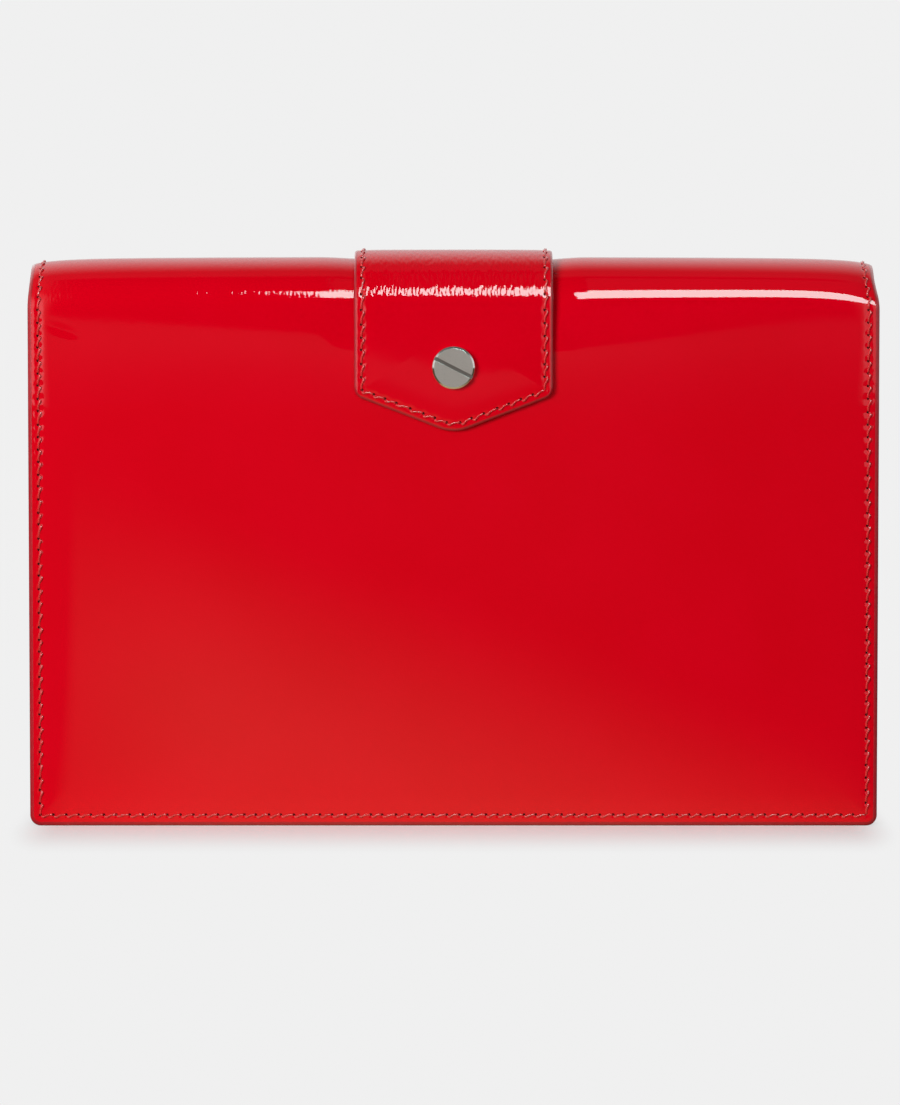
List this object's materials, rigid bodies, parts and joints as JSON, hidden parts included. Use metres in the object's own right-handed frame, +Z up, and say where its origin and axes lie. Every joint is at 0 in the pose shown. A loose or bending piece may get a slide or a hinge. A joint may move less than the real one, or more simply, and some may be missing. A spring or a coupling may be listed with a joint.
{
  "type": "clutch purse",
  "caption": "Slim flap clutch in patent leather, with a stitched strap over the fold, slotted post screws, a magnetic snap and a folding gusset.",
  "frame": {"origin": "centre of the bounding box on the bottom seam, where the closed purse would stand", "axes": "+X across the width, -Y out of the plain back face, +Y out of the flap side, +Z up towards the fold"},
  "size_m": [0.24, 0.0361, 0.163],
  "materials": {
    "patent_leather": "patent, mirror gloss",
    "strap_leather": "patent, mirror gloss",
    "gusset": "smooth, low sheen",
    "lining": "fine suede, matt",
    "strap_lining": "smooth, matt",
    "board": "matt",
    "thread": "waxed thread",
    "nickel": "polished nickel plate",
    "magnet": "sintered"
  },
  "bodies": {
    "back": {"back_panel": "patent_leather", "back_board": "board", "back_lining": "lining", "back_thread": "thread", "slip_pocket": "lining", "pocket_thread": "thread", "gusset_back_leaf": "gusset", "tab_back": "strap_leather", "tab_back_lining": "strap_lining", "tab_thread": "thread", "tab_screw": "nickel", "tab_screw_post": "nickel"},
    "front": {"front_panel": "patent_leather", "front_board": "board", "front_lining": "lining", "front_thread": "thread", "gusset_front_leaf": "gusset", "snap_socket": "nickel", "snap_magnet": "magnet", "snap_socket_plate": "nickel"},
    "fold_1": {"fold_1_leather": "patent_leather", "fold_1_lining": "lining", "fold_1_strap": "strap_leather", "fold_1_strap_lining": "strap_lining"},
    "fold_2": {"fold_2_leather": "patent_leather", "fold_2_lining": "lining", "fold_2_strap": "strap_leather", "fold_2_strap_lining": "strap_lining"},
    "fold_3": {"fold_3_leather": "patent_leather", "fold_3_lining": "lining", "fold_3_strap": "strap_leather", "fold_3_strap_lining": "strap_lining"},
    "flap": {"flap_panel": "patent_leather", "flap_board": "board", "flap_lining": "lining", "flap_thread": "thread", "strap_front": "strap_leather", "strap_front_lining": "strap_lining", "strap_thread": "thread", "strap_screw": "nickel", "strap_screw_post": "nickel", "snap_stud": "nickel", "snap_stud_plate": "nickel"}
  },
  "joints": [
    {"name": "flap_bend_1", "type": "hinge", "parent": "back", "child": "fold_1", "pos_m": [0, -0.01467, 0.15273], "axis": [1, 0, 0], "range_deg": [0, 46.5]},
    {"name": "flap_bend_2", "type": "hinge", "parent": "fold_1", "child": "fold_2", "pos_m": [0, -0.0049, 0.162], "axis": [1, 0, 0], "range_deg": [0, 46.5]},
    {"name": "flap_bend_3", "type": "hinge", "parent": "fold_2", "child": "fold_3", "pos_m": [0, 0.00854, 0.16129], "axis": [1, 0, 0], "range_deg": [0, 46.5]},
    {"name": "flap_bend_4", "type": "hinge", "parent": "fold_3", "child": "flap", "pos_m": [0, 0.01728, 0.15106], "axis": [1, 0, 0], "range_deg": [0, 46.5]},
    {"name": "front_open", "type": "hinge", "parent": "back", "child": "front", "pos_m": [0, -0.00268, 0], "axis": [-1, 0, 0], "range_deg": [0, 12]}
  ],
  "couplings": [
    {"joint": "flap_bend_2", "follows": "flap_bend_1", "ratio": 1},
    {"joint": "flap_bend_3", "follows": "flap_bend_1", "ratio": 1},
    {"joint": "flap_bend_4", "follows": "flap_bend_1", "ratio": 1},
    {"joint": "front_open", "follows": "flap_bend_1", "ratio": 0.258}
  ]
}
